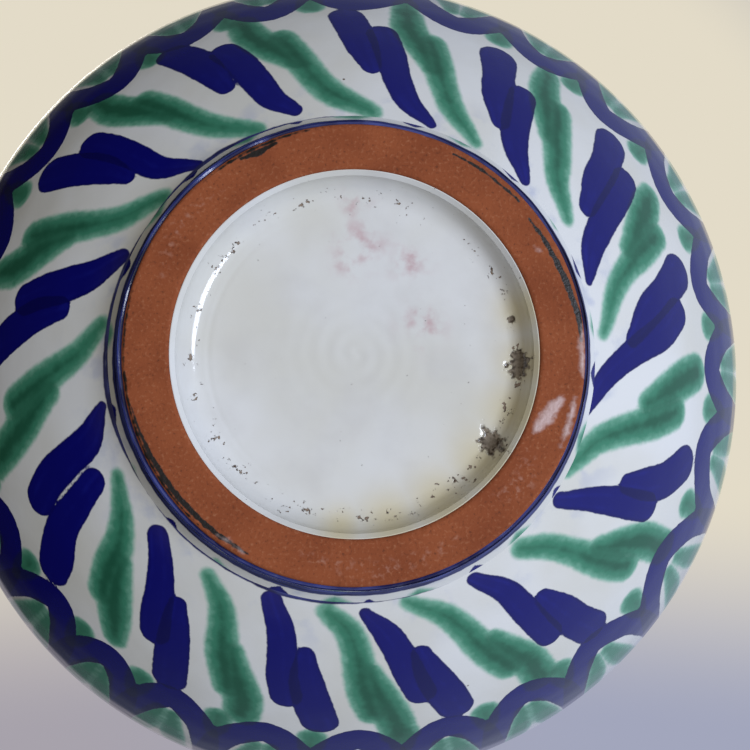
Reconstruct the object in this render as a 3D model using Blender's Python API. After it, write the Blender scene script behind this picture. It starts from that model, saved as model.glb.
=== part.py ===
"""A hand-thrown glazed pottery vase, made of turned clay sections luted with slip under thin glaze coats.

Metres, +Z up. The origin is the middle of the foot, on the surface that the vase stands on.
Every piece is a solid of revolution. One line, the outside of the clay from the foot to the lip, drives
all of them: the inside of the wall, the joints and the glaze coats are offsets of that line.
"""

import math

import bmesh
import bpy
import numpy as np

# Foot
FOOT_RADIUS = 0.045  # outside of the clay ring where it stands
FOOT_RING_WIDTH = 0.009
FOOT_FLARE = 0.002  # how far the foot's wall leans out on its way up
FOOT_BLEND = 0.002  # length of the hollow curve between the foot's wall and the body
FOOT_EDGE_BEVEL = 0.0008
RECESS_DEPTH = 0.0067  # clay underside of the floor, above the standing face
RECESS_FILLET = 0.0055
RING_TIP = 0.0007  # thickness left at the inner edge of the ring's fillet

# Body
BELLY_RADIUS = 0.1097
BELLY_HEIGHT = 0.094
SHOULDER_RISE = 0.090  # height of the shoulder's ellipse above the belly
WALL = 0.0065
FLOOR = 0.009

# Neck
WAIST_RADIUS = 0.0440
WAIST_CURVE = 0.026  # radius of the hollow curve at the neck's waist
WAIST_END = math.radians(80)  # slope of the wall where the hollow curve ends and the flare starts
RIM_RADIUS = 0.0615
RIM_RISE = 0.036  # from the waist up to the start of the round lip

# Joints and coats
GAP = 0.0003  # clearance between neighbouring pieces
SLIP = 0.0005  # thickness of the luting slip
KEY = 0.0020  # depth of the V cut into each luted edge
GLAZE = 0.0006
FOOT_GLAZE_START = 0.0015  # the outer coat stops this far above the standing face
RECESS_GLAZE_START = 0.0012

# Fineness
SEGMENTS = 40
LOWER_STEPS = 6
SHOULDER_STEPS = 6
NECK_STEPS = 7
LIP_STEPS = 4
FILLET_STEPS = 4
LINE_STEPS = 400  # points on each stretch of the driving line
SHARP_EDGE = math.radians(35)

FOOT_RING_TOP = RECESS_DEPTH + RING_TIP
SEAT_HEIGHT = FOOT_RING_TOP + GAP + SLIP + GAP  # where the body meets the foot
RING_INNER = FOOT_RADIUS - FOOT_RING_WIDTH
FILLET_INNER = RING_INNER - RECESS_FILLET
FLOOR_TOP = RECESS_DEPTH + FLOOR


def shell_ellipse(angles, rise):
    """Points of the body's section: the belly is at angle 0, and rise is the ellipse's height."""
    return np.column_stack((BELLY_RADIUS * np.cos(angles), BELLY_HEIGHT + rise * np.sin(angles)))


def foot_stretch():
    """The foot's wall, the hollow curve above it, and the body from there to the belly."""
    corner = np.array((FOOT_RADIUS + FOOT_FLARE, SEAT_HEIGHT))
    base = np.array((FOOT_RADIUS, 0.0))
    start_angle = -math.acos(corner[0] / BELLY_RADIUS)
    drop = (BELLY_HEIGHT - SEAT_HEIGHT) / -math.sin(start_angle)
    speed = math.hypot(BELLY_RADIUS * math.sin(start_angle), drop * math.cos(start_angle))
    blend_end_angle = start_angle + FOOT_BLEND / speed
    body = shell_ellipse(np.linspace(blend_end_angle, 0, LINE_STEPS), drop)
    wall_way = (corner - base) / np.linalg.norm(corner - base)
    blend_start = corner - FOOT_BLEND * wall_way
    wall = np.linspace(base, blend_start, LINE_STEPS)
    t = np.linspace(0, 1, LINE_STEPS)[:, None]
    blend = (1 - t) ** 2 * blend_start + 2 * t * (1 - t) * corner + t**2 * body[0]
    return wall, blend, body


def waist_start_angle():
    """Angle on the shoulder's ellipse at which a curve of the waist's radius leaves it and reaches the waist."""
    low, high = math.radians(5), math.radians(88)
    for _ in range(60):
        middle = (low + high) / 2
        slope = math.atan2(SHOULDER_RISE * math.cos(middle), -BELLY_RADIUS * math.sin(middle))
        waist = BELLY_RADIUS * math.cos(middle) + WAIST_CURVE * (math.sin(slope) - 1)
        if waist > WAIST_RADIUS:
            low = middle
        else:
            high = middle
    return middle, slope


def arc(centre, radius, slopes):
    """Points of a curve that is hollow towards the outside, given by the slope of its path."""
    return centre + radius * np.column_stack((-np.sin(slopes), np.cos(slopes)))


def neck_stretch():
    """The shoulder above the belly, the hollow curve at the waist, and the flare up to the lip."""
    angle, slope = waist_start_angle()
    shoulder = shell_ellipse(np.linspace(0, angle, LINE_STEPS), SHOULDER_RISE)
    centre = shoulder[-1] + WAIST_CURVE * np.array((math.sin(slope), -math.cos(slope)))
    waist = arc(centre, WAIST_CURVE, np.linspace(slope, WAIST_END, LINE_STEPS))
    rim = np.array((RIM_RADIUS, centre[1] + RIM_RISE))
    chord = rim - waist[-1]
    half_turn = WAIST_END - math.atan2(chord[1], chord[0])
    radius = np.linalg.norm(chord) / (2 * math.sin(half_turn))
    centre = waist[-1] + radius * np.array((math.sin(WAIST_END), -math.cos(WAIST_END)))
    flare = arc(centre, radius, np.linspace(WAIST_END, WAIST_END - 2 * half_turn, LINE_STEPS))
    return shoulder, waist, flare


class Line:
    """The outside of the clay, read by its length from the foot's lower edge."""

    def __init__(self):
        stretches = foot_stretch() + neck_stretch()
        self.points = np.concatenate([stretches[0]] + [part[1:] for part in stretches[1:]])
        steps = np.linalg.norm(np.diff(self.points, axis=0), axis=1)
        self.lengths = np.concatenate(([0.0], np.cumsum(steps)))
        way = np.gradient(self.points, self.lengths, axis=0)
        way /= np.linalg.norm(way, axis=1)[:, None]
        self.outward = np.column_stack((way[:, 1], -way[:, 0]))
        ends = np.cumsum([LINE_STEPS - 1] * len(stretches))
        self.blend_start, self.blend_end, self.belly, self.neck, _, self.lip = self.lengths[ends]

    def at_height(self, height):
        return float(np.interp(height, self.points[:, 1], self.lengths))

    def at(self, length, depth=0.0):
        """A point at this length along the line and this far inside it."""
        point = [np.interp(length, self.lengths, column) for column in self.points.T]
        outward = np.array([np.interp(length, self.lengths, column) for column in self.outward.T])
        return tuple(np.array(point) - depth * outward / np.linalg.norm(outward))

    def run(self, lengths, depth=0.0):
        return [self.at(length, depth) for length in lengths]

    def keyed_edge(self, length):
        """A luted edge from the outside to the inside, with its V."""
        return [self.at(length), self.at(length - KEY, WALL / 2), self.at(length, WALL)]

    def lip_curve(self, proud=0.0):
        """The round lip from the outside to the inside, standing this far proud of the clay."""
        middle = np.array(self.at(self.lip, WALL / 2))
        outward = np.array(self.at(self.lip, 0)) - middle
        outward /= np.linalg.norm(outward)
        onward = np.array((-outward[1], outward[0]))
        turns = np.linspace(0, math.pi, LIP_STEPS + 1)
        radius = WALL / 2 + proud
        return [tuple(middle + radius * (math.cos(t) * outward + math.sin(t) * onward)) for t in turns]


LINE = Line()
JOINT = GAP + SLIP + GAP
SEAT = LINE.at_height(SEAT_HEIGHT)
LOWER_END = LINE.belly - JOINT / 2
SHOULDER_START = LOWER_END + JOINT
SHOULDER_END = LINE.neck - JOINT / 2
NECK_START = SHOULDER_END + JOINT
FOOT_LENGTHS = [
    LINE.at_height(FOOT_GLAZE_START),
    LINE.blend_start,
    LINE.at_height(FOOT_RING_TOP),
]
LOWER_LENGTHS = [SEAT] + list(np.linspace(LINE.blend_end, LOWER_END, LOWER_STEPS + 1))
SHOULDER_LENGTHS = list(np.linspace(SHOULDER_START, SHOULDER_END, SHOULDER_STEPS + 1))
NECK_LENGTHS = list(np.linspace(NECK_START, LINE.lip, NECK_STEPS + 1))


def above(points, height):
    """The part of a rising line that is above this height, starting exactly on it."""
    radii = [point[0] for point in points]
    heights = [point[1] for point in points]
    kept = [point for point in points if point[1] > height + GAP]
    return [(float(np.interp(height, heights, radii)), height)] + kept


def finish(name, red, green, blue, roughness):
    """A plain material with this colour, given as the screen shows it."""
    material = bpy.data.materials.new(name)
    material.use_nodes = True
    shader = material.node_tree.nodes["Principled BSDF"]
    colour = [((part + 0.055) / 1.055) ** 2.4 for part in (red, green, blue)]
    shader.inputs["Base Color"].default_value = (*colour, 1.0)
    shader.inputs["Roughness"].default_value = roughness
    shader.inputs["Metallic"].default_value = 0.0
    material.diffuse_color = (*colour, 1.0)
    return material


def turned(name, profile, material, closed=True):
    """Turns a section about Z. A section that isn't closed starts and ends on the axis."""
    shape = bmesh.new()
    points = [shape.verts.new((radius, 0.0, height)) for radius, height in profile]
    pairs = list(zip(points, points[1:]))
    if closed:
        pairs.append((points[-1], points[0]))
    edges = [shape.edges.new(pair) for pair in pairs]
    bmesh.ops.spin(
        shape,
        geom=points + edges,
        axis=(0.0, 0.0, 1.0),
        cent=(0.0, 0.0, 0.0),
        angle=2 * math.pi,
        steps=SEGMENTS,
        use_merge=True,
    )
    bmesh.ops.remove_doubles(shape, verts=shape.verts, dist=1e-6)
    bmesh.ops.recalc_face_normals(shape, faces=shape.faces)
    mesh = bpy.data.meshes.new(name)
    shape.to_mesh(mesh)
    shape.free()
    mesh.shade_smooth()
    mesh.set_sharp_from_angle(angle=SHARP_EDGE)
    mesh.materials.append(material)
    bpy.context.scene.collection.objects.link(bpy.data.objects.new(name, mesh))


def recess_curve(proud=0.0):
    """The hollow under the foot from its ceiling to its wall, as seen this far in front of the clay."""
    radius = RECESS_FILLET - proud
    centre = (FILLET_INNER, RECESS_DEPTH - RECESS_FILLET)
    turns = np.linspace(math.pi / 2, 0, FILLET_STEPS + 1)
    return [(centre[0] + radius * math.cos(t), centre[1] + radius * math.sin(t)) for t in turns]


def foot_ring(clay):
    """The turned ring that the vase stands on, with its edges eased and a round fillet inside."""
    outside = LINE.run(reversed(FOOT_LENGTHS)) + [(FOOT_RADIUS, FOOT_EDGE_BEVEL)]
    base = [(FOOT_RADIUS - FOOT_EDGE_BEVEL, 0.0), (RING_INNER + FOOT_EDGE_BEVEL, 0.0)]
    inside = [(RING_INNER, FOOT_EDGE_BEVEL)] + recess_curve()[::-1]
    turned("foot_ring", outside + base + inside + [(FILLET_INNER, FOOT_RING_TOP)], clay)


def foot_slip(slip):
    """The slip between the ring and the body, which are pressed together on it."""
    outer = LINE.at(LINE.at_height(FOOT_RING_TOP), GAP)[0]
    low, high = FOOT_RING_TOP + GAP, FOOT_RING_TOP + GAP + SLIP
    turned("foot_slip", [(outer, high), (outer, low), (FILLET_INNER, low), (FILLET_INNER, high)], slip)


def lower_bowl(clay):
    """The thrown bowl: the floor and the wall up to the belly, with a seat for the foot ring underneath."""
    wall = above(LINE.run(LOWER_LENGTHS, WALL), FLOOR_TOP)
    edge = LINE.keyed_edge(LOWER_END)[::-1]
    outside = LINE.run(LOWER_LENGTHS[-2::-1])
    seat_inner = FILLET_INNER - GAP
    under = [(seat_inner, SEAT_HEIGHT), (seat_inner, RECESS_DEPTH), (0.0, RECESS_DEPTH)]
    turned("lower_bowl", [(0.0, FLOOR_TOP)] + wall[:-1] + edge + outside + under, clay, closed=False)


def luting(name, start, slip):
    """The slip in a keyed joint whose lower edge ends at this length."""
    low = LINE.keyed_edge(start + GAP)
    high = LINE.keyed_edge(start + GAP + SLIP)
    turned(name, [high[0]] + low + high[:0:-1], slip)


def shoulder(clay):
    """The thrown upper half of the body, from the belly to the root of the neck."""
    outside = LINE.run(SHOULDER_LENGTHS[-2:0:-1])
    inside = LINE.run(SHOULDER_LENGTHS[1:-1], WALL)
    low = LINE.keyed_edge(SHOULDER_START)
    high = LINE.keyed_edge(SHOULDER_END)
    turned("shoulder", [high[0]] + outside + low + inside + high[:0:-1], clay)


def neck(clay):
    """The neck with its flared, rounded rim."""
    outside = LINE.run(NECK_LENGTHS[-2:0:-1])
    inside = LINE.run(NECK_LENGTHS[1:-1], WALL)
    lip = LINE.lip_curve()
    turned("neck", [lip[0]] + outside + LINE.keyed_edge(NECK_START) + inside + lip[:0:-1], clay)


def outer_glaze(glaze):
    """The painted outer coat, from just above the standing face up over the lip."""
    lengths = FOOT_LENGTHS + LOWER_LENGTHS + SHOULDER_LENGTHS + NECK_LENGTHS[:-1]
    front = LINE.run(lengths, -GAP - GLAZE) + LINE.lip_curve(GAP + GLAZE)
    back = LINE.run(lengths, -GAP) + LINE.lip_curve(GAP)
    turned("outer_glaze", front[::-1] + back, glaze)


def inner_glaze(glaze):
    """The poured inner coat, from the lip's inner edge down over the floor."""
    lengths = LOWER_LENGTHS + SHOULDER_LENGTHS + NECK_LENGTHS[:-1]
    lengths.append(LINE.lip - GAP)
    back = above(LINE.run(lengths, WALL + GAP), FLOOR_TOP + GAP)
    front = above(LINE.run(lengths, WALL + GAP + GLAZE), FLOOR_TOP + GAP + GLAZE)
    floor_front = [(0.0, FLOOR_TOP + GAP + GLAZE)]
    floor_back = [(0.0, FLOOR_TOP + GAP)]
    turned("inner_glaze", floor_front + front + back[::-1] + floor_back, glaze, closed=False)


def recess_glaze(glaze):
    """The coat in the hollow under the foot, which stops short of the bare ring."""
    ends = {}
    for proud in (GAP, GAP + GLAZE):
        curve = recess_curve(proud)
        ends[proud] = [(0.0, curve[0][1])] + curve[:-1] + [(curve[-1][0], RECESS_GLAZE_START)]
    turned("recess_glaze", ends[GAP] + ends[GAP + GLAZE][::-1], glaze, closed=False)


def main():
    for obj in list(bpy.data.objects):
        bpy.data.objects.remove(obj)
    fired_clay = finish("fired_clay", 0.56, 0.31, 0.20, 0.85)
    fired_slip = finish("fired_slip", 0.63, 0.38, 0.26, 0.9)
    white_glaze = finish("white_glaze", 0.87, 0.87, 0.84, 0.15)
    foot_ring(fired_clay)
    foot_slip(fired_slip)
    lower_bowl(fired_clay)
    luting("belly_slip", LOWER_END, fired_slip)
    shoulder(fired_clay)
    luting("neck_slip", SHOULDER_END, fired_slip)
    neck(fired_clay)
    outer_glaze(white_glaze)
    inner_glaze(white_glaze)
    recess_glaze(white_glaze)


main()
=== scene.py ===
"""The looks of a thrown, tin-glazed vase painted with cobalt and copper, built round its packed clay model.

Everything is in metres in the model's own frame: +Z up, the foot's middle at the origin.
"""

import math

import bmesh
import bpy
import numpy as np
from mathutils import Matrix, Vector


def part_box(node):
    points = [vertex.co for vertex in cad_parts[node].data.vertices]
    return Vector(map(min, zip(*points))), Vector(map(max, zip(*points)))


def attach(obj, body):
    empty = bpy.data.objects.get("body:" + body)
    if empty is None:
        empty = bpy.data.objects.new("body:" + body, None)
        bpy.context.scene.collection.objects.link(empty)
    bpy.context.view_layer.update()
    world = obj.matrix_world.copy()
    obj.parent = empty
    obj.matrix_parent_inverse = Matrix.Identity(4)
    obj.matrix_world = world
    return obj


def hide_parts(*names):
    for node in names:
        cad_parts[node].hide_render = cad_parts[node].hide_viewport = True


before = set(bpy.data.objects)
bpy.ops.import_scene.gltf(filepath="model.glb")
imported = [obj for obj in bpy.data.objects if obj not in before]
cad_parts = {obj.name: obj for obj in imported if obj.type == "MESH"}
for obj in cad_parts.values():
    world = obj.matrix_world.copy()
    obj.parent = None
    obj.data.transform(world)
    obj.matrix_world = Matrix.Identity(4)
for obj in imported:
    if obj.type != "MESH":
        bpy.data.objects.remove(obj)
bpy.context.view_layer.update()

bl_info = {
    "name": "Painted tin-glazed vase",
    "version": (1, 0, 0),
    "blender": (4, 5, 0),
    "location": "View3D > Sidebar > Vase",
    "description": "Builds the glaze coats, bare foot ring and painting of a thrown vase",
    "category": "Object",
}

MM = 0.001
GLAZE_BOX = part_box("outer_glaze")
SLIP_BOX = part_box("foot_slip")
BELLY_SLIP_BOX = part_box("belly_slip")

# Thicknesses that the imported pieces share
GAP = 0.3 * MM
SLIP = 0.5 * MM
GLAZE = 0.6 * MM
PROUD = GAP + GLAZE  # the glaze's face in front of the clay
WALL = 6.5 * MM


class VaseSizes(bpy.types.PropertyGroup):
    """Sizes of the vase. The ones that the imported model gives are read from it."""

    foot_radius: bpy.props.FloatProperty(
        name="Foot radius", description="Outside of the bare ring where it stands", default=45 * MM,
        unit="LENGTH",
    )
    ring_width: bpy.props.FloatProperty(
        name="Ring width", description="Width of the bare ring", default=9 * MM, unit="LENGTH"
    )
    foot_flare: bpy.props.FloatProperty(
        name="Foot flare", description="How far the foot's wall leans out", default=2 * MM, unit="LENGTH"
    )
    foot_blend: bpy.props.FloatProperty(
        name="Foot blend", description="Length of the hollow where the foot meets the body", default=2 * MM,
        unit="LENGTH",
    )
    edge_bevel: bpy.props.FloatProperty(
        name="Foot edge", description="Size of the eased edges of the ring", default=0.8 * MM, unit="LENGTH"
    )
    seat_height: bpy.props.FloatProperty(
        name="Foot height", description="Height at which the body starts", default=SLIP_BOX[1].z + GAP,
        unit="LENGTH",
    )
    recess_depth: bpy.props.FloatProperty(
        name="Recess depth", description="Clay ceiling of the hollow under the foot",
        default=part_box("lower_bowl")[0].z, unit="LENGTH",
    )
    recess_fillet: bpy.props.FloatProperty(
        name="Recess fillet", description="Radius where the hollow's ceiling turns into the ring",
        default=5.5 * MM, unit="LENGTH",
    )
    belly_radius: bpy.props.FloatProperty(
        name="Belly radius", description="Clay at the widest point", default=GLAZE_BOX[1].x - PROUD,
        unit="LENGTH",
    )
    belly_height: bpy.props.FloatProperty(
        name="Belly height", description="Height of the widest point", default=BELLY_SLIP_BOX[1].z - SLIP / 2,
        unit="LENGTH",
    )
    shoulder_rise: bpy.props.FloatProperty(
        name="Shoulder rise", description="Height of the shoulder's curve above the belly", default=90 * MM,
        unit="LENGTH",
    )
    waist_radius: bpy.props.FloatProperty(
        name="Waist radius", description="Clay at the narrowest point of the neck", default=44 * MM,
        unit="LENGTH",
    )
    waist_curve: bpy.props.FloatProperty(
        name="Waist curve", description="Radius of the hollow curve at the waist", default=26 * MM,
        unit="LENGTH",
    )
    waist_end: bpy.props.FloatProperty(
        name="Waist end", description="Slope at which the flare starts", default=math.radians(80),
        subtype="ANGLE",
    )
    rim_radius: bpy.props.FloatProperty(
        name="Rim radius", description="Clay where the round lip starts", default=61.5 * MM, unit="LENGTH"
    )
    rim_rise: bpy.props.FloatProperty(
        name="Rim rise", description="Height of the rim above the waist", default=36 * MM, unit="LENGTH"
    )


class VaseColours(bpy.types.PropertyGroup):
    """Colours of the fired surfaces, as the screen shows them."""

    white: bpy.props.StringProperty(name="Tin white", description="Thick tin glaze", default="#DCDDDC")
    thin_white: bpy.props.StringProperty(
        name="Thin white", description="Glaze where it runs thin", default="#D2D1C9"
    )
    cobalt: bpy.props.StringProperty(
        name="Cobalt", description="One full stroke of cobalt", default="#0A0B66"
    )
    cobalt_thin: bpy.props.StringProperty(
        name="Thin cobalt", description="A dry stroke of cobalt", default="#181E86"
    )
    cobalt_twice: bpy.props.StringProperty(
        name="Cobalt twice", description="Where a second stroke crosses the first", default="#06063C"
    )
    copper: bpy.props.StringProperty(
        name="Copper", description="A full stroke of copper green", default="#3C8065"
    )
    copper_thin: bpy.props.StringProperty(
        name="Thin copper", description="Edge of a copper stroke", default="#7DB39C"
    )
    copper_core: bpy.props.StringProperty(
        name="Copper core", description="Pooled copper green", default="#1F5640"
    )
    clay: bpy.props.StringProperty(name="Bare clay", description="Fired terracotta", default="#944E2A")
    clay_dark: bpy.props.StringProperty(name="Dark clay", description="Darker fired clay", default="#834120")
    clay_light: bpy.props.StringProperty(
        name="Light clay", description="Grog and rubbed clay", default="#BE8661"
    )
    soot: bpy.props.StringProperty(name="Kiln black", description="Burnt residue", default="#15100E")
    stain: bpy.props.StringProperty(name="Rose stain", description="Flush of clay colour", default="#B98C92")


def linear(code):
    """A linear colour from an sRGB hex code."""
    parts = [int(code[i : i + 2], 16) / 255 for i in (1, 3, 5)]
    return tuple(p / 12.92 if p <= 0.04045 else ((p + 0.055) / 1.055) ** 2.4 for p in parts) + (1.0,)


# ---------------------------------------------------------------- the turned line


def ellipse(sizes, angles, rise):
    """Points of the body's curve, at angles up from its widest point, for this height of curve."""
    return np.column_stack((sizes.belly_radius * np.cos(angles), sizes.belly_height + rise * np.sin(angles)))


def hollow_arc(centre, radius, slopes):
    """Points of an arc whose centre is outside the pot, at these slopes."""
    return centre + radius * np.column_stack((-np.sin(slopes), np.cos(slopes)))


def clay_line(sizes, steps=400):
    """Stretches of the clay's outside from its standing edge: foot, blend, body, shoulder, waist, flare."""
    corner = np.array((sizes.foot_radius + sizes.foot_flare, sizes.seat_height))
    base = np.array((sizes.foot_radius, 0.0))
    start = -math.acos(corner[0] / sizes.belly_radius)
    drop = (sizes.belly_height - sizes.seat_height) / -math.sin(start)
    speed = math.hypot(sizes.belly_radius * math.sin(start), drop * math.cos(start))
    body = ellipse(sizes, np.linspace(start + sizes.foot_blend / speed, 0, steps), drop)
    blend_start = corner - sizes.foot_blend * (corner - base) / np.linalg.norm(corner - base)
    t = np.linspace(0, 1, steps)[:, None]
    blend = (1 - t) ** 2 * blend_start + 2 * t * (1 - t) * corner + t**2 * body[0]
    low, high = math.radians(5), math.radians(88)
    # Halving finds the angle at which the shoulder runs smoothly into the waist's curve
    for _ in range(60):
        angle = (low + high) / 2
        slope = math.atan2(sizes.shoulder_rise * math.cos(angle), -sizes.belly_radius * math.sin(angle))
        reach = sizes.belly_radius * math.cos(angle) + sizes.waist_curve * (math.sin(slope) - 1)
        low, high = (angle, high) if reach > sizes.waist_radius else (low, angle)
    shoulder = ellipse(sizes, np.linspace(0, angle, steps), sizes.shoulder_rise)
    centre = shoulder[-1] + sizes.waist_curve * np.array((math.sin(slope), -math.cos(slope)))
    waist = hollow_arc(centre, sizes.waist_curve, np.linspace(slope, sizes.waist_end, steps))
    chord = np.array((sizes.rim_radius, centre[1] + sizes.rim_rise)) - waist[-1]
    half = sizes.waist_end - math.atan2(chord[1], chord[0])
    radius = np.linalg.norm(chord) / (2 * math.sin(half))
    centre = waist[-1] + radius * np.array((math.sin(sizes.waist_end), -math.cos(sizes.waist_end)))
    flare = hollow_arc(centre, radius, np.linspace(sizes.waist_end, sizes.waist_end - 2 * half, steps))
    return np.linspace(base, blend_start, steps), blend, body, shoulder, waist, flare


class Line:
    """The outside of the clay, read by its length up from where the body leaves the foot, in metres."""

    def __init__(self, sizes):
        stretches = clay_line(sizes)
        self.points = np.concatenate([stretches[0]] + [part[1:] for part in stretches[1:]])
        steps = np.linalg.norm(np.diff(self.points, axis=0), axis=1)
        lengths = np.concatenate(([0.0], np.cumsum(steps)))
        self.lengths = lengths - np.interp(sizes.seat_height, self.points[:, 1], lengths)
        way = np.gradient(self.points, self.lengths, axis=0)
        way /= np.linalg.norm(way, axis=1)[:, None]
        self.outward = np.column_stack((way[:, 1], -way[:, 0]))
        self.lip = self.lengths[-1]
        self.face_heights = (self.points + PROUD * self.outward)[:, 1]

    def run(self, lengths, depth=0.0):
        """Points this far inside the clay's face, as an array of (radius, height)."""
        lengths = np.asarray(lengths, float)
        point = np.column_stack([np.interp(lengths, self.lengths, column) for column in self.points.T])
        outward = np.column_stack([np.interp(lengths, self.lengths, column) for column in self.outward.T])
        return point - depth * outward / np.linalg.norm(outward, axis=1)[:, None]

    def lip_curve(self, proud, turns):
        """The round lip at these turns in radians: 0 is its outside and pi its inside."""
        middle = self.run([self.lip], WALL / 2)[0]
        outward = (self.run([self.lip])[0] - middle) / (WALL / 2)
        onward = np.array((-outward[1], outward[0]))
        turns = np.asarray(turns)[:, None]
        return middle + (WALL / 2 + proud) * (np.cos(turns) * outward + np.sin(turns) * onward)

    def length_at(self, heights):
        """Length along the line of points on the outer glaze's face, from their heights."""
        return np.interp(heights, self.face_heights, self.lengths)


# ---------------------------------------------------------------- turning

WEDGES = 20  # a full turn is one wedge repeated, which is much quicker than one long spin


def turn(name, profile, segments, closed=True):
    """Turns a section, in (radius, height), about Z. An open section starts and ends on the axis."""
    shape = bmesh.new()
    points = [shape.verts.new((radius, 0.0, height)) for radius, height in profile]
    edges = [shape.edges.new(pair) for pair in zip(points, points[1:])]
    if closed:
        edges.append(shape.edges.new((points[-1], points[0])))
    about = {"axis": (0, 0, 1), "cent": (0, 0, 0), "use_merge": False}
    wedge = 2 * math.pi / WEDGES
    bmesh.ops.spin(shape, geom=points + edges, angle=wedge, steps=segments // WEDGES, **about)
    faces = shape.faces[:]
    for k in range(1, WEDGES):
        bmesh.ops.spin(shape, geom=faces, angle=k * wedge, steps=1, use_duplicate=True, **about)
    bmesh.ops.remove_doubles(shape, verts=shape.verts, dist=1e-6)
    bmesh.ops.recalc_face_normals(shape, faces=shape.faces)
    mesh = bpy.data.meshes.new(name)
    shape.to_mesh(mesh)
    shape.free()
    mesh.shade_smooth()
    mesh.set_sharp_from_angle(angle=math.radians(40))
    piece = bpy.data.objects.new(name, mesh)
    bpy.context.scene.collection.objects.link(piece)
    return piece


def corners(piece):
    """The piece's points, as an array of x, y, z."""
    mesh = piece.data
    flat = np.empty(len(mesh.vertices) * 3, np.float32)
    mesh.vertices.foreach_get("co", flat)
    return flat.reshape(-1, 3).astype(float)


def put_corners(piece, points):
    """Moves the piece's points to these places."""
    piece.data.vertices.foreach_set("co", points.astype(np.float32).ravel())
    piece.data.update()


def store(piece, **values):
    """Keeps one number for each point of the piece, which its material reads by name."""
    for name, numbers in values.items():
        attribute = piece.data.attributes.new(name, "FLOAT", "POINT")
        attribute.data.foreach_set("value", np.asarray(numbers, np.float32))


def hand_wobble(points, ridge, sway, strength):
    """Inward shifts in metres of a thrown surface: slow sways round it and faint throwing ridges up it."""
    angle = np.arctan2(points[:, 1], points[:, 0])
    height = points[:, 2]
    slow = 0.5 + 0.25 * np.sin(2 * angle + 0.7 + 9 * height) + 0.25 * np.sin(3 * angle + 2.1 - 14 * height)
    climb = height / ridge + angle / (2 * math.pi)
    ridges = 0.5 + 0.5 * np.sin(2 * math.pi * climb + 0.8 * np.sin(5 * angle + 60 * height))
    return sway * slow + strength * ridges


def shift_in(points, amount):
    """Moves points towards the axis."""
    radius = np.hypot(points[:, 0], points[:, 1])
    scale = np.where(radius > 1e-9, (radius - amount) / np.maximum(radius, 1e-9), 1.0)
    moved = points.copy()
    moved[:, :2] *= scale[:, None]
    return moved


# ---------------------------------------------------------------- brushwork


def flowing(points, count):
    """A smooth curve through a few points: count rows with as many columns as the points have."""
    points = np.asarray(points, float)
    padded = np.vstack((2 * points[0] - points[1], points, 2 * points[-1] - points[-2]))
    place = np.linspace(0, len(points) - 1, count)
    first = np.minimum(place.astype(int), len(points) - 2)
    t = (place - first)[:, None]
    a, b, c, d = (padded[first + k] for k in range(4))
    return 0.5 * (2 * b + (c - a) * t + (2 * a - 5 * b + 4 * c - d) * t**2 + (3 * b - a - 3 * c + d) * t**3)


class Stroke:
    """One brush stroke: a route in (degrees round, mm along) and widths in mm that follow it."""

    def __init__(self, route, widths, load=1.0, seed=0.0):
        count = 5 * max(len(route), 3)
        self.route = flowing(route, count)
        self.width = np.maximum(flowing(np.asarray(widths, float)[:, None], count)[:, 0], 0.2)
        self.load = load
        self.seed = seed


class Paper:
    """The surface that is painted: its points as degrees round, mm along, and mm for each degree."""

    def __init__(self, degrees, along, radius):
        self.degrees = np.mod(degrees, 360)
        self.along = along
        self.scale = np.radians(1.0) * radius
        self.order = np.argsort(self.along)
        self.sorted_along = self.along[self.order]

    def near(self, stroke, margin):
        """The points close to a stroke, their turn from its middle in degrees, and that middle."""
        reach = stroke.width.max() / 2 + margin
        first = np.searchsorted(self.sorted_along, stroke.route[:, 1].min() - reach)
        last = np.searchsorted(self.sorted_along, stroke.route[:, 1].max() + reach)
        rows = self.order[first:last]
        middle = (stroke.route[:, 0].min() + stroke.route[:, 0].max()) / 2
        span = (stroke.route[:, 0].max() - stroke.route[:, 0].min()) / 2
        turned = np.mod(self.degrees[rows] - middle + 180, 360) - 180
        kept = (np.abs(turned) - span) * self.scale[rows] < reach
        return rows[kept], turned[kept], middle

    def lay(self, strokes, margin=3.0):
        """Depth inside the topmost paint, depth inside a second coat, and paint load, at every point."""
        best = np.full(len(self.degrees), -margin)
        second = np.full(len(self.degrees), -margin)
        load = np.zeros(len(self.degrees))
        for stroke in strokes:
            rows, turned, middle = self.near(stroke, margin)
            inside = np.full(len(rows), -margin)
            across = np.zeros(len(rows))
            along = np.zeros(len(rows))
            last = len(stroke.route) - 1
            for k in range(last):
                # Distance to one straight piece of the route, whose width changes evenly along it
                x = (turned - (stroke.route[k, 0] - middle)) * self.scale[rows]
                y = self.along[rows] - stroke.route[k, 1]
                step_x = (stroke.route[k + 1, 0] - stroke.route[k, 0]) * self.scale[rows]
                step_y = stroke.route[k + 1, 1] - stroke.route[k, 1]
                length = np.maximum(step_x**2 + step_y**2, 1e-9)
                t = np.clip((x * step_x + y * step_y) / length, 0, 1)
                half = ((1 - t) * stroke.width[k] + t * stroke.width[k + 1]) / 2
                depth = half - np.hypot(x - t * step_x, y - t * step_y)
                closer = depth > inside
                inside = np.where(closer, depth, inside)
                across = np.where(closer, (x * step_y - y * step_x) / np.sqrt(length) / half, across)
                along = np.where(closer, (k + t) / last, along)
            hair = 0.5 * np.sin(7.3 * across + stroke.seed) + 0.3 * np.sin(13.1 * across + 2.3 * stroke.seed)
            wetness = stroke.load + 0.15 * hair + 0.3 * (0.5 - np.abs(along - 0.65))
            second[rows] = np.maximum(second[rows], np.minimum(best[rows], inside))
            over = inside > best[rows]
            best[rows] = np.maximum(best[rows], inside)
            load[rows] = np.where(over, wetness, load[rows])
        return best, second, load


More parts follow.
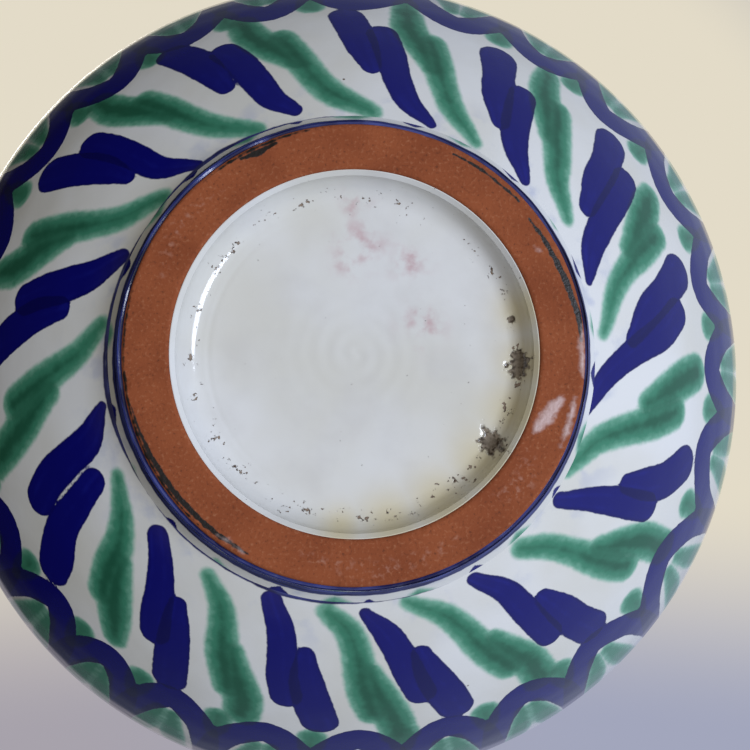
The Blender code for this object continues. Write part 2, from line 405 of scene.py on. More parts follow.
# Leaves of the lower body. A leaf is two strokes that swirl outwards: a root stroke that ends in a heel, and
# a tip stroke laid beside it. Each is its points, as (degrees round, mm up from the foot) from the root
# outwards, and then its widths in mm along the way.
BLUE_LEAVES = (
    (((374, 0.6), (366, 4.2), (360.8, 9.5), (357.3, 16), (354.7, 23), (351.6, 29)),
     (1.8, 4.2, 5.2, 6.4, 7.4, 7.2),
     ((356, 12.8), (350.8, 19), (347.6, 26), (344.6, 33.3)), (3.4, 7.0, 7.6, 9.0)),
    (((35, 4), (31.3, 10), (29, 16), (27.5, 22), (26.5, 27.5)), (3.0, 4.6, 6.0, 6.6, 6.6),
     ((24.5, 18.5), (23, 24), (21, 30), (17.2, 35.8)), (4.2, 7.0, 8.4, 8.8)),
    (((61.8, 4), (57.4, 10), (55.9, 17), (55, 24), (54.3, 29.2)), (2.6, 4.8, 5.8, 6.0, 6.2),
     ((51.5, 18.8), (50.2, 25), (49.3, 31.5), (48, 38)), (4.0, 7.0, 8.0, 8.8)),
    (((87.6, 4.6), (83.4, 10), (81, 16.5), (79.6, 23), (78.3, 29)), (2.0, 5.0, 6.0, 6.4, 6.4),
     ((77.2, 17.2), (76, 24), (74.4, 31), (73.2, 37.4)), (4.0, 7.0, 8.2, 7.8)),
    (((108.8, 4.4), (105.4, 10), (103.7, 16), (102.6, 23), (101.2, 29.2)), (3.8, 5.2, 5.8, 6.4, 6.6),
     ((99.2, 15.8), (98.4, 23), (96.8, 30), (95.1, 36.9)), (3.2, 6.8, 8.0, 8.0)),
    (((137.4, 6.4), (133.2, 10.5), (129.8, 16), (127.6, 22), (126, 26.6)), (4.2, 5.0, 6.0, 6.8, 6.6),
     ((125.4, 16.5), (123.3, 23), (121.5, 30), (120, 37.5)), (3.8, 6.6, 7.6, 7.8)),
    (((168.3, 4.5), (162.6, 9.5), (160.3, 16), (158.4, 23), (156, 28.6)), (1.8, 6.0, 7.0, 7.6, 7.4),
     ((154.3, 12.4), (152, 19), (150, 26), (146.8, 32.5), (145.2, 36.7)), (5.2, 6.4, 7.8, 9.2, 8.2)),
    (((203, 3.8), (197.4, 9), (194.2, 15), (192.2, 21), (190.3, 26.6)), (2.8, 5.8, 7.2, 7.2, 6.8),
     ((189.4, 15.5), (187.8, 22), (185, 28.5), (181.6, 35.5)), (4.6, 7.0, 7.6, 7.4)),
    (((230.6, 3), (224.2, 9), (222.6, 16), (221.2, 23.5), (219.5, 30.5)), (1.6, 4.8, 5.8, 6.4, 6.6),
     ((218.5, 14.2), (217.2, 21), (215, 28), (211.9, 36.2)), (3.0, 6.6, 8.2, 8.8)),
    (((256.2, 5.4), (252.4, 10), (250.5, 17), (249.2, 24), (247.3, 30.8)), (2.8, 5.2, 6.4, 6.6, 6.6),
     ((244.6, 18.8), (243.4, 26), (241.8, 33.5), (239.6, 40.5)), (4.2, 6.8, 8.0, 7.4)),
    (((288, 3.4), (282, 7.5), (278.7, 14), (276.8, 22), (275, 29.8)), (1.8, 4.8, 5.8, 6.6, 6.8),
     ((273.4, 17), (271.6, 24), (270.2, 31), (268.9, 37.5)), (4.0, 7.0, 7.8, 7.8)),
    (((313.8, 3.6), (307.8, 8.5), (304.8, 14), (303.4, 19.5), (302.5, 24.6)), (2.0, 5.2, 6.4, 6.6, 6.4),
     ((301.6, 13), (298.6, 20), (297, 27), (295.5, 34.2)), (4.0, 7.0, 7.4, 8.8)),
    (((342, 3.8), (335.4, 8), (331, 15), (328.6, 22), (326.3, 29.6)), (1.4, 5.2, 6.6, 7.0, 6.8),
     ((327, 13), (323.9, 20), (322, 27), (319.6, 34.8)), (4.2, 7.0, 7.6, 8.6)),
)
GREEN_LEAVES = (
    (((28, 1.5), (19.8, 5.5), (16, 10.5), (13.3, 16.5), (11, 22.5), (9, 28)), (3.0, 5.0, 6.0, 6.8, 7.6, 7.4),
     ((8.5, 18), (5.5, 24.5), (3, 30.5), (1.6, 35.6)), (5.2, 7.8, 8.6, 8.4)),
    (((49, 4.6), (44.8, 8.5), (42, 14), (40, 20.5), (38.3, 27), (36.8, 32.4)), (4.0, 5.0, 5.4, 6.6, 7.4, 7.0),
     ((37.5, 20.5), (34, 27), (31.5, 33), (30.5, 42)), (4.8, 7.8, 8.4, 8.0)),
    (((77.8, 3.4), (71.2, 8.5), (68.2, 14), (66.2, 20.5), (64.2, 27), (62.8, 31.5)),
     (2.6, 4.6, 5.6, 6.4, 7.0, 6.6),
     ((63.5, 20.5), (61.3, 27), (59.5, 33), (58.8, 42)), (4.4, 6.8, 8.0, 8.4)),
    (((96.2, 4.4), (91.6, 8.5), (89.6, 14), (88.7, 20.5), (87.8, 27), (86.6, 34)),
     (3.6, 5.2, 5.8, 6.6, 7.2, 6.4),
     ((87, 20), (85.3, 27.5), (83.6, 35), (82.4, 44)), (4.4, 7.0, 8.0, 8.0)),
    (((123.6, 5.8), (118.5, 10), (115.9, 15.5), (114.2, 21.5), (111.8, 28), (110.8, 31.5)),
     (2.6, 4.6, 5.8, 6.8, 7, 6.4),
     ((112.5, 20.5), (110, 27.5), (108, 33.5), (107.4, 39.5)), (4.8, 7.2, 8.4, 8.0)),
    (((153, 6.2), (146, 10), (141.7, 15), (139.5, 21), (137, 28)), (2.2, 4.4, 6.2, 7.4, 7.2),
     ((138.5, 18.5), (135.5, 25.5), (132.8, 31.5), (130.7, 36.8)), (5.4, 7.8, 7.8, 5.6)),
    (((186.8, 4), (180.8, 9), (177.5, 15), (174.8, 22), (172.3, 29)), (3.0, 4.8, 6.0, 7.0, 7.0),
     ((173.5, 17.5), (169.5, 25), (166.5, 32), (164, 40)), (5.0, 7.6, 8.4, 7.4)),
    (((219.5, 3.2), (211, 8.5), (207, 14.5), (204.5, 21), (201, 31)), (3.2, 5.0, 5.8, 6.8, 7.0),
     ((203, 20), (198.8, 27), (195.5, 33), (194, 38.5)), (4.8, 7.8, 8.4, 6.6)),
    (((246.5, 3.2), (239.5, 8.5), (235.6, 14.5), (233.3, 21), (230.8, 29)), (3.2, 5.0, 6.0, 6.8, 6.8),
     ((232.5, 20), (229, 27.5), (226.5, 34), (225.5, 42)), (4.8, 7.6, 8.2, 6.6)),
    (((274, 3.4), (265.8, 8), (261.8, 14), (259.6, 21), (257.3, 30)), (3.4, 6.0, 6.2, 6.6, 6.4),
     ((258.8, 19.5), (255, 27), (252.6, 34), (251.8, 42)), (4.8, 7.6, 8.0, 6.6)),
    (((299.2, 3.8), (292, 9), (288.3, 15), (286, 21.5), (283.7, 30)), (2.2, 5.0, 5.8, 6.6, 6.6),
     ((285, 20), (282, 27.5), (279.6, 34), (278.8, 42)), (4.4, 7.4, 8.0, 7.0)),
    (((327, 5.8), (319.3, 10), (315.2, 15.5), (311.8, 21.5), (309, 28.5)), (2.2, 5.0, 6.4, 7.0, 6.8),
     ((311, 19), (307.5, 26), (305, 33), (304, 40.5)), (4.8, 7.4, 7.4, 5.6)),
    (((354.6, 4.6), (346.2, 9.5), (342, 15), (339.6, 21.5), (337.3, 30)), (2.0, 4.4, 5.4, 6.8, 6.8),
     ((338, 18.5), (334.8, 25.5), (332.2, 31.5), (330.6, 35.8)), (4.8, 7.8, 8.4, 6.2)),
)
SPREAD = 0.7  # mm that a wet stroke spreads in the glaze
# Middles of the scallops round the body, in degrees
SCALLOPS = (0.5, 13.5, 31.5, 49, 62.5, 75.5, 89, 103, 118, 129.5, 141, 155, 169,
            184, 199, 215, 230, 243, 256.5, 270, 287, 301.5, 315, 331.5, 347)
SCALLOP_CROWN, SCALLOP_FOOT = 44.6, 79.0  # mm up from the foot
# Bands that hide where the three shells of the outer coat meet: mm up from the foot, width in mm and seed
LOW_BAND = (82.0, 4.0, 1.0)
HIGH_BAND = (152.0, 3.6, 5.0)


def leaves(table):
    """The two strokes of each leaf. The tip stroke is laid second, over the heel of the first."""
    strokes = []
    for k, (root, root_widths, tip, tip_widths) in enumerate(table):
        for route, widths, shift in ((root, root_widths, 0.0), (tip, tip_widths, 2.0)):
            strokes.append(Stroke(route, [width + SPREAD for width in widths], 0.6, 1.3 * k + shift))
    return strokes


def scallop_chain(middles, crown, foot, width, dab_width):
    """Arches all the way round that meet between their middles, and green dabs in and between them."""
    arches, dabs = [], []
    count = len(middles)
    rise = foot - crown
    away = 1 if rise > 0 else -1
    for k, middle in enumerate(middles):
        before = middles[k - 1] - (360 if k == 0 else 0)
        after = middles[(k + 1) % count] + (360 if k == count - 1 else 0)
        left, right = (before + middle) / 2, (middle + after) / 2
        half = (right - left) / 2
        top = crown + away * 1.1 * math.sin(3.1 * k)
        knee, hip = crown + 0.62 * rise, crown + 0.22 * rise
        arch = ((left, foot), (left + 0.05 * half, knee), (left + 0.30 * half, hip), (middle, top),
                (right - 0.30 * half, hip), (right - 0.05 * half, knee), (right, foot))
        arch_widths = [width * share for share in (0.8, 0.85, 1.0, 1.1, 1.0, 0.85, 0.8)]
        arches.append(Stroke(arch, arch_widths, 0.62, 1.7 * k))
        for side in (-1, 1):
            start = (middle + side * 0.16 * half, crown + away * 7.5)
            end = (middle + side * 0.46 * half, foot - away * 2.0)
            between = ((start[0] + end[0]) / 2, (start[1] + end[1]) / 2)
            widths = (0.6 * dab_width, dab_width, 0.9 * dab_width)
            dabs.append(Stroke((start, between, end), widths, 0.1, k + side))
        valley = ((right, crown - away * 0.8), (right, crown + away * 4.5), (right, crown + away * 10.0))
        dabs.append(Stroke(valley, (1.05 * dab_width, 0.85 * dab_width, 0.3 * dab_width), 0.4, 2.0 * k))
    return arches, dabs


def wheel_line(along, width, load=0.6, wander=0.35, seed=0.0):
    """A band painted on the turning wheel, a little uneven."""
    turns = np.arange(0, 361, 7.5)
    sway = wander * (np.sin(np.radians(turns) + seed) + 0.5 * np.sin(3 * np.radians(turns) + 2 * seed))
    route = np.column_stack((turns, along + sway))
    return [Stroke(route[k : k + 7], (width, width), load, seed) for k in range(0, len(route) - 1, 6)]


def blossom(middle, along, scale, seed):
    """A daisy of eight petals: blue petal strokes, a ring in the heart, green dots between the petals."""
    blue, green = [], []
    centre = np.array((middle, along))
    for k in range(8):
        angle = math.radians(45 * k + 8 + 4 * math.sin(seed + k))
        way = np.array((math.cos(angle) / scale, math.sin(angle)))
        side = np.array((-math.sin(angle) / scale, math.cos(angle)))
        tip = centre + (15.5 + 0.6 * math.sin(3 * k)) * way
        petal = (centre + 6.0 * way, centre + 11 * way + 0.5 * side, tip)
        blue.append(Stroke(petal, (2.0, 6.2, 7.6), 0.6, k + seed))
        angle += math.radians(22.5)
        way = np.array((math.cos(angle) / scale, math.sin(angle)))
        dot = (centre + 19 * way, centre + 21 * way, centre + 22.5 * way)
        green.append(Stroke(dot, (2.4, 3.6, 2.6), 0.5, k))
    turns = np.linspace(0, 2 * math.pi, 9)
    heart = [centre + 3.4 * np.array((math.cos(turned) / scale, math.sin(turned))) for turned in turns]
    blue.append(Stroke(heart, (1.3, 1.3), 0.6, seed))
    green.append(Stroke((centre - (0.3, 0), centre, centre + (0.3, 0)), (2.8, 3.0, 2.8), 0.7, seed))
    return blue, green


def sprig(middle, along, scale, side):
    """A curved stem with paired leaf strokes, between two blossoms."""
    blue, green = [], []
    bend = ((-11, -20), (-3, -7), (3, 7), (11, 20))
    spots = [(middle + x * side / scale, along + y * side) for x, y in bend]
    stem = flowing(spots, 11)
    green.append(Stroke(stem, (1.1, 1.9, 1.1), 0.7, middle))
    for k in range(1, 10, 2):
        lean = math.atan2(stem[k + 1, 1] - stem[k - 1, 1], (stem[k + 1, 0] - stem[k - 1, 0]) * scale)
        size = 0.8 + 0.35 * math.sin(math.pi * k / 10)
        for turned in (-1, 1):
            angle = lean + turned * math.radians(52)
            way = size * np.array((math.cos(angle) / scale, math.sin(angle)))
            strokes = blue if k in (3, 7) else green
            strokes.append(Stroke((stem[k] + 1.5 * way, stem[k] + 6 * way, stem[k] + 11.5 * way),
                                  (1.2, 4.8 * size, 5.6 * size), 0.55, k + middle))
    return blue, green


def lower_painting():
    """The swirling leaves and the scallops under the belly."""
    arches, dabs = scallop_chain(SCALLOPS, SCALLOP_CROWN, SCALLOP_FOOT, 8.2, 6.6)
    along, width, seed = LOW_BAND
    blue = leaves(BLUE_LEAVES) + arches + wheel_line(along, width, seed=seed)
    return blue, leaves(GREEN_LEAVES) + dabs


def belly_painting():
    """Blossoms and sprigs round the widest part, between two pairs of bands."""
    blue, green = [], []
    for along, width, seed in (LOW_BAND, (87.0, 1.3, 2.0), (146.5, 1.3, 4.0), HIGH_BAND):
        blue += wheel_line(along, width, seed=seed)
    scale = math.radians(1.0) * GLAZE_BOX[1].x / MM
    repeat = 360 / 7
    for k in range(7):
        for made in (
            blossom(repeat * k + 6, 117, scale, k),
            sprig(repeat * (k + 0.5) + 6, 117, scale, 1 if k % 2 else -1),
        ):
            blue += made[0]
            green += made[1]
    return blue, green


def two_stroke_leaf(middle, spots, widths, tip_spots, tip_widths, seed):
    """A leaf like those of the lower body, its points given from a middle in degrees."""
    root, tip = ([(middle + x, y) for x, y in part] for part in (spots, tip_spots))
    return [Stroke(root, widths, 0.55, seed), Stroke(tip, tip_widths, 0.65, seed + 2.0)]


def upper_painting():
    """Scallops and leaves on the shoulder, leaves on the neck, and bands at its root."""
    middles = [360 / 22 * k + 3 + 1.2 * math.sin(2.7 * k) for k in range(22)]
    blue, green = scallop_chain(middles, 177.0, 157.0, 6.2, 5.4)
    for along, width, seed in (HIGH_BAND, (209.0, 3.8, 2.5), (214.5, 1.3, 3.5)):
        blue += wheel_line(along, width, seed=seed)
    for k in range(11):
        for strokes, middle in ((blue, 360 / 11 * k), (green, 360 / 11 * (k + 0.5))):
            strokes += two_stroke_leaf(
                middle + math.sin(2.1 * k),
                ((0, 205), (5, 200), (10, 194), (14, 187)), (1.5, 4.2, 5.6, 5.4),
                ((10, 200), (14, 195), (18, 189)), (3.4, 5.6, 4.2), k,
            )
    for k in range(10):
        for strokes, middle in ((blue, 36 * k), (green, 36 * (k + 0.5))):
            strokes += two_stroke_leaf(
                middle + math.sin(1.7 * k),
                ((0, 219), (-3, 228), (-8, 238), (-11, 245)), (1.5, 4.6, 6.6, 6.4),
                ((-10, 232), (-14, 242), (-17, 251)), (3.6, 7.0, 5.0), k,
            )
    return blue + wheel_line(262.0, 1.3, seed=0.4), green


# ---------------------------------------------------------------- materials

RGBA = {"data_type": "RGBA"}
EASED = {"interpolation_type": "SMOOTHSTEP"}


def add(tree, kind, inputs=None, out=0, **settings):
    """Adds a shader node, sets it up, fills or links its inputs, and returns one of its outputs."""
    node = tree.nodes.new("ShaderNode" + kind)
    for name, value in settings.items():
        setattr(node, name, value)
    for socket, value in (inputs or {}).items():
        if isinstance(value, bpy.types.NodeSocket):
            tree.links.new(value, node.inputs[socket])
        else:
            node.inputs[socket].default_value = value
    return node.outputs[out]


def start_material(name):
    """A new material, with its node tree, its shader and the place of each point on the vase."""
    material = bpy.data.materials.new(name)
    material.use_nodes = True
    tree = material.node_tree
    return material, tree, tree.nodes["Principled BSDF"], add(tree, "TexCoord", out=3)


def shaken(tree, place, value, size, amount, low, high, detail=3.0):
    """0 where a value is under low and 1 over high, after blotches this many metres wide have shaken it."""
    noise = add(tree, "TexNoise", {"Vector": place, "Scale": 1 / size, "Detail": detail})
    value = add(tree, "Math", {0: noise, 1: amount, 2: value}, operation="MULTIPLY_ADD")
    limits = {0: value, 1: low + amount / 2, 2: high + amount / 2}
    return add(tree, "MapRange", limits, **EASED)


def white_ground(tree, place, colours):
    """Poured tin white: slow changes of thickness, and rare iron specks half a millimetre wide."""
    thickness = shaken(tree, place, 0.0, 30 * MM, 1.0, -0.18, 0.18)
    thin, thick = linear(colours.thin_white), linear(colours.white)
    ground = add(tree, "Mix", {0: thickness, 6: thin, 7: thick}, 2, **RGBA)
    cells = add(tree, "TexVoronoi", {"Vector": place, "Scale": 1 / (8 * MM)})
    speck = add(tree, "MapRange", {0: cells, 1: 0.045, 2: 0.02})
    rare = shaken(tree, place, 0.0, 19 * MM, 1.0, 0.06, 0.12, 1.0)
    cover = add(tree, "Math", {0: speck, 1: rare}, operation="MULTIPLY")
    return add(tree, "Mix", {0: cover, 6: ground, 7: linear("#5B4A3A")}, 2, **RGBA)


def glaze_finish(shader, roughness):
    """Fired glass: lead and tin glaze has about the IOR of window glass and is never metallic."""
    shader.inputs["Roughness"].default_value = roughness
    shader.inputs["IOR"].default_value = 1.5
    shader.inputs["Metallic"].default_value = 0.0


def cobalt_paint(tree, place, read, colours):
    """Cobalt blue: nearly black where it lies thick or twice, lighter where the brush dragged it thin."""
    wet = shaken(tree, place, read["blue_load"], 4 * MM, 0.5, 0.0, 0.7)
    paint = add(tree, "Mix", {0: wet, 6: linear(colours.cobalt_thin), 7: linear(colours.cobalt)}, 2, **RGBA)
    # Pigment settles in a thin dark line just inside the edge
    rim = add(tree, "MapRange", {0: read["blue"], 1: 0.9, 2: 0.3, 4: 0.3}, **EASED)
    paint = add(tree, "Mix", {0: rim, 6: paint, 7: linear(colours.cobalt_twice)}, 2, **RGBA)
    twice = shaken(tree, place, read["blue_twice"], 1.6 * MM, 0.4, -0.1, 0.35)
    twice = add(tree, "Math", {0: twice, 1: 0.6}, operation="MULTIPLY")
    return add(tree, "Mix", {0: twice, 6: paint, 7: linear(colours.cobalt_twice)}, 2, **RGBA)


def copper_paint(tree, place, read, colours):
    """Copper green: watery and mottled, pale at its edge and dark where it pooled in the middle."""
    filled = shaken(tree, place, read["green"], 1.8 * MM, 2.2, -0.6, 1.9, 4.0)
    thin, full = linear(colours.copper_thin), linear(colours.copper)
    paint = add(tree, "Mix", {0: filled, 6: thin, 7: full}, 2, **RGBA)
    pooled = shaken(tree, place, read["green"], 2.8 * MM, 2.6, 1.5, 4.0, 4.0)
    wet = add(tree, "MapRange", {0: read["green_load"], 1: 0.15, 2: 0.6, 4: 0.9})
    pooled = add(tree, "Math", {0: pooled, 1: wet}, operation="MULTIPLY")
    paint = add(tree, "Mix", {0: pooled, 6: paint, 7: linear(colours.copper_core)}, 2, **RGBA)
    twice = add(tree, "MapRange", {0: read["green_twice"], 1: -0.3, 2: 1.4, 4: 0.5}, **EASED)
    return add(tree, "Mix", {0: twice, 6: paint, 7: linear(colours.copper_core)}, 2, **RGBA)


def painted_glaze(colours):
    """Painted tin glaze, fired glossy: cobalt keeps a crisp edge in it, and copper creeps a millimetre."""
    material, tree, shader, place = start_material("painted_tin_glaze")
    stored = ("blue", "blue_twice", "blue_load", "green", "green_twice", "green_load", "band", "smudge")
    read = {name: add(tree, "Attribute", out="Fac", attribute_name=name) for name in stored}
    ground = white_ground(tree, place, colours)
    # Faint blue left by wet fingers near the foot
    haze = shaken(tree, place, 0.0, 7 * MM, 1.0, 0.02, 0.22, 4.0)
    haze = add(tree, "Math", {0: haze, 1: read["smudge"]}, operation="MULTIPLY")
    ground = add(tree, "Mix", {0: haze, 6: ground, 7: linear("#8F9CC4")}, 2, **RGBA)
    green_cover = shaken(tree, place, read["green"], 1.5 * MM, 0.7, -0.8, 0.5)
    copper = copper_paint(tree, place, read, colours)
    painted = add(tree, "Mix", {0: green_cover, 6: ground, 7: copper}, 2, **RGBA)
    cobalt = cobalt_paint(tree, place, read, colours)
    # Over copper the cobalt turns a dull dark slate
    slate = add(tree, "Math", {0: green_cover, 1: 0.6}, operation="MULTIPLY")
    cobalt = add(tree, "Mix", {0: slate, 6: cobalt, 7: linear("#161F38")}, 2, **RGBA)
    blue_cover = shaken(tree, place, read["blue"], 1.6 * MM, 0.45, -0.16, 0.2)
    painted = add(tree, "Mix", {0: blue_cover, 6: painted, 7: cobalt}, 2, **RGBA)
    # The band at the foot and the rim, dragged by the wheel into streaks that run round it
    stretched = add(tree, "Mapping", {"Vector": place, "Scale": (1.0, 1.0, 10.0)})
    streaks = shaken(tree, stretched, 0.0, 8 * MM, 1.0, -0.16, 0.16, 4.0)
    band = add(tree, "Mix", {0: streaks, 6: linear("#1A1D4E"), 7: linear("#434C8C")}, 2, **RGBA)
    # Pale grey-blue streaks along the band are painted highlights on the wheel streaks, not worn paint
    streak_highlights = shaken(tree, stretched, 0.0, 5 * MM, 1.0, 0.12, 0.3, 3.0)
    streak_highlights = add(tree, "Math", {0: streak_highlights, 1: 0.5}, operation="MULTIPLY")
    band = add(tree, "Mix", {0: streak_highlights, 6: band, 7: linear("#8C96B4")}, 2, **RGBA)
    edge = add(tree, "MapRange", {0: read["band"], 1: 1.1, 2: 0.2, 4: 0.6}, **EASED)
    band = add(tree, "Mix", {0: edge, 6: band, 7: linear("#16184A")}, 2, **RGBA)
    band_cover = shaken(tree, place, read["band"], 2.5 * MM, 0.5, -0.15, 0.2)
    painted = add(tree, "Mix", {0: band_cover, 6: painted, 7: band}, 2, **RGBA)
    tree.links.new(painted, shader.inputs["Base Color"])
    glaze_finish(shader, 0.12)
    skin = add(tree, "TexNoise", {"Vector": place, "Scale": 1 / (7 * MM), "Detail": 3.0})
    skin = add(tree, "Math", {0: blue_cover, 1: 0.3, 2: skin}, operation="MULTIPLY_ADD")
    bump = add(tree, "Bump", {"Height": skin, "Distance": 0.10 * MM, "Strength": 1.0})
    tree.links.new(bump, shader.inputs["Normal"])
    return material


def inner_glaze(colours):
    """Unpainted tin glaze, poured round the inside and fired glossy."""
    material, tree, shader, place = start_material("tin_glaze_inside")
    tree.links.new(white_ground(tree, place, colours), shader.inputs["Base Color"])
    glaze_finish(shader, 0.14)
    skin = add(tree, "TexNoise", {"Vector": place, "Scale": 1 / (9 * MM), "Detail": 3.0})
    bump = add(tree, "Bump", {"Height": skin, "Distance": 0.12 * MM, "Strength": 1.0})
    tree.links.new(bump, shader.inputs["Normal"])
    return material


def recess_glaze(colours):
    """Tin glaze pooled under the foot: glossy, with grit and craters burst through it and a flush of clay."""
    material, tree, shader, place = start_material("tin_glaze_recess")
    stored = ("grit", "flush", "crater", "pool")
    read = {name: add(tree, "Attribute", out="Fac", attribute_name=name) for name in stored}
    ground = white_ground(tree, place, colours)
    clouds = shaken(tree, place, 0.0, 9 * MM, 1.0, -0.1, 0.3, 5.0)
    clouds = add(tree, "Math", {0: clouds, 1: 0.35}, operation="MULTIPLY")
    ground = add(tree, "Mix", {0: clouds, 6: ground, 7: linear("#C3C1BE")}, 2, **RGBA)
    thin = add(tree, "Math", {0: read["pool"], 1: 0.85}, operation="MULTIPLY")
    ground = add(tree, "Mix", {0: thin, 6: ground, 7: linear("#CFC39C")}, 2, **RGBA)
    flushed = shaken(tree, place, 0.0, 4 * MM, 1.0, -0.1, 0.25, 5.0)
    flushed = add(tree, "Math", {0: flushed, 1: read["flush"]}, operation="MULTIPLY")
    ground = add(tree, "Mix", {0: flushed, 6: ground, 7: linear(colours.stain)}, 2, **RGBA)
    # Grit gathers in crumbs under a millimetre wide
    crumbs = add(tree, "TexNoise", {"Vector": place, "Scale": 1 / (0.8 * MM), "Detail": 3.0})
    field = shaken(tree, place, 0.0, 2.6 * MM, 1.0, -0.1, 0.2)
    field = add(tree, "Math", {0: field, 1: read["grit"]}, operation="MULTIPLY")
    crumbs = add(tree, "Math", {0: field, 1: 0.27, 2: crumbs}, operation="MULTIPLY_ADD")
    hit = add(tree, "MapRange", {0: crumbs, 1: 0.74, 2: 0.81}, **EASED)
    tint = shaken(tree, place, 0.0, 1.3 * MM, 1.0, -0.1, 0.1)
    grit = add(tree, "Mix", {0: tint, 6: linear("#4A3B34"), 7: linear("#8C7B6B")}, 2, **RGBA)
    ground = add(tree, "Mix", {0: hit, 6: ground, 7: grit}, 2, **RGBA)
    burst = shaken(tree, place, read["crater"], 1.1 * MM, 1.0, 0.25, 0.5, 5.0)
    ash = shaken(tree, place, 0.0, 0.7 * MM, 1.0, -0.12, 0.12, 4.0)
    ash = add(tree, "Mix", {0: ash, 6: linear("#43382E"), 7: linear("#8A7E6E")}, 2, **RGBA)
    core = add(tree, "MapRange", {0: read["crater"], 1: 0.6, 2: 0.9, 4: 0.7}, **EASED)
    ash = add(tree, "Mix", {0: core, 6: ash, 7: linear("#7D7264")}, 2, **RGBA)
    ground = add(tree, "Mix", {0: burst, 6: ground, 7: ash}, 2, **RGBA)
    tree.links.new(ground, shader.inputs["Base Color"])
    glaze_finish(shader, 0.1)
    skin = add(tree, "TexNoise", {"Vector": place, "Scale": 1 / (9 * MM), "Detail": 3.0})
    faults = add(tree, "Math", {0: hit, 1: burst}, operation="MAXIMUM")
    skin = add(tree, "Math", {0: faults, 1: -1.6, 2: skin}, operation="MULTIPLY_ADD")
    bump = add(tree, "Bump", {"Height": skin, "Distance": 0.12 * MM, "Strength": 1.0})
    tree.links.new(bump, shader.inputs["Normal"])
    return material


def terracotta(tree, place, colours):
    """The colour of fired red clay with fine grog in it, and the grain that roughens it."""
    blotch = shaken(tree, place, 0.0, 11 * MM, 1.0, -0.2, 0.2, 4.0)
    colour = add(tree, "Mix", {0: blotch, 6: linear(colours.clay_dark), 7: linear(colours.clay)}, 2, **RGBA)
    grain = add(tree, "TexNoise", {"Vector": place, "Scale": 1 / (0.7 * MM), "Detail": 4.0})
    light = add(tree, "MapRange", {0: grain, 1: 0.56, 2: 0.78, 4: 0.4})
    colour = add(tree, "Mix", {0: light, 6: colour, 7: linear(colours.clay_light)}, 2, **RGBA)
    pits = add(tree, "MapRange", {0: grain, 1: 0.42, 2: 0.28, 4: 0.55})
    colour = add(tree, "Mix", {0: pits, 6: colour, 7: linear("#4F2817")}, 2, **RGBA)
    return colour, grain


def ring_clay(colours):
    """Bare terracotta turned with a tool: matt and grainy, with soot, smears of glaze and rubbed patches."""
    material, tree, shader, place = start_material("bare_terracotta_ring")
    stored = ("soot", "smear", "rubbed", "turning")
    read = {name: add(tree, "Attribute", out="Fac", attribute_name=name) for name in stored}
    colour, grain = terracotta(tree, place, colours)
    rings = add(tree, "Math", {0: read["turning"], 1: 0.08}, operation="MULTIPLY")
    colour = add(tree, "Mix", {0: rings, 6: colour, 7: linear("#6B341C")}, 2, **RGBA)
    rubbed = shaken(tree, place, 0.0, 1.4 * MM, 1.0, -0.02, 0.22, 5.0)
    rubbed = add(tree, "Math", {0: rubbed, 1: read["rubbed"]}, operation="MULTIPLY")
    colour = add(tree, "Mix", {0: rubbed, 6: colour, 7: linear("#A97C6A")}, 2, **RGBA)
    burnt = shaken(tree, place, read["soot"], 1.5 * MM, 0.9, -0.15, 0.12, 4.0)
    colour = add(tree, "Mix", {0: burnt, 6: colour, 7: linear(colours.soot)}, 2, **RGBA)
    film = shaken(tree, place, read["smear"], 1.8 * MM, 2.4, -0.3, 1.1, 5.0)
    cover = add(tree, "Math", {0: film, 1: 0.72}, operation="MULTIPLY")
    colour = add(tree, "Mix", {0: cover, 6: colour, 7: linear("#CDB5B1")}, 2, **RGBA)
    tree.links.new(colour, shader.inputs["Base Color"])
    # Soot and glaze film shine a little on the matt clay
    shine = add(tree, "Math", {0: film, 1: burnt}, operation="MAXIMUM")
    rough = add(tree, "MapRange", {0: shine, 3: 0.85, 4: 0.4})
    tree.links.new(rough, shader.inputs["Roughness"])
    shader.inputs["IOR"].default_value = 1.4
    heights = add(tree, "Math", {0: read["turning"], 1: 0.15, 2: grain}, operation="MULTIPLY_ADD")
    heights = add(tree, "Math", {0: film, 1: 0.8, 2: heights}, operation="MULTIPLY_ADD")
    bump = add(tree, "Bump", {"Height": heights, "Distance": 0.12 * MM, "Strength": 1.0})
    tree.links.new(bump, shader.inputs["Normal"])
    return material


def wall_clay(colours, name):
    """Fired terracotta as the kiln leaves it, matt all over."""
    material, tree, shader, place = start_material(name)
    colour, grain = terracotta(tree, place, colours)
    tree.links.new(colour, shader.inputs["Base Color"])
    shader.inputs["Roughness"].default_value = 0.85
    shader.inputs["IOR"].default_value = 1.4
    bump = add(tree, "Bump", {"Height": grain, "Distance": 0.12 * MM, "Strength": 1.0})
    tree.links.new(bump, shader.inputs["Normal"])
    return material


# ---------------------------------------------------------------- operators


def settle(piece, material, node):
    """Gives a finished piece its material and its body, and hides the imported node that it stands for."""
    piece.data.materials.append(material)
    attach(piece, "root")
    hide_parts(node)


def bead(front_end, back_end):
    """Two points that round a coat's edge, between the end of its face and the clay."""
    across = back_end - front_end
    onward = np.array((across[1], -across[0])) * (1 if across[0] < 0 else -1)
    return [front_end + 0.3 * across + 0.45 * onward, front_end + 0.75 * across + 0.5 * onward]


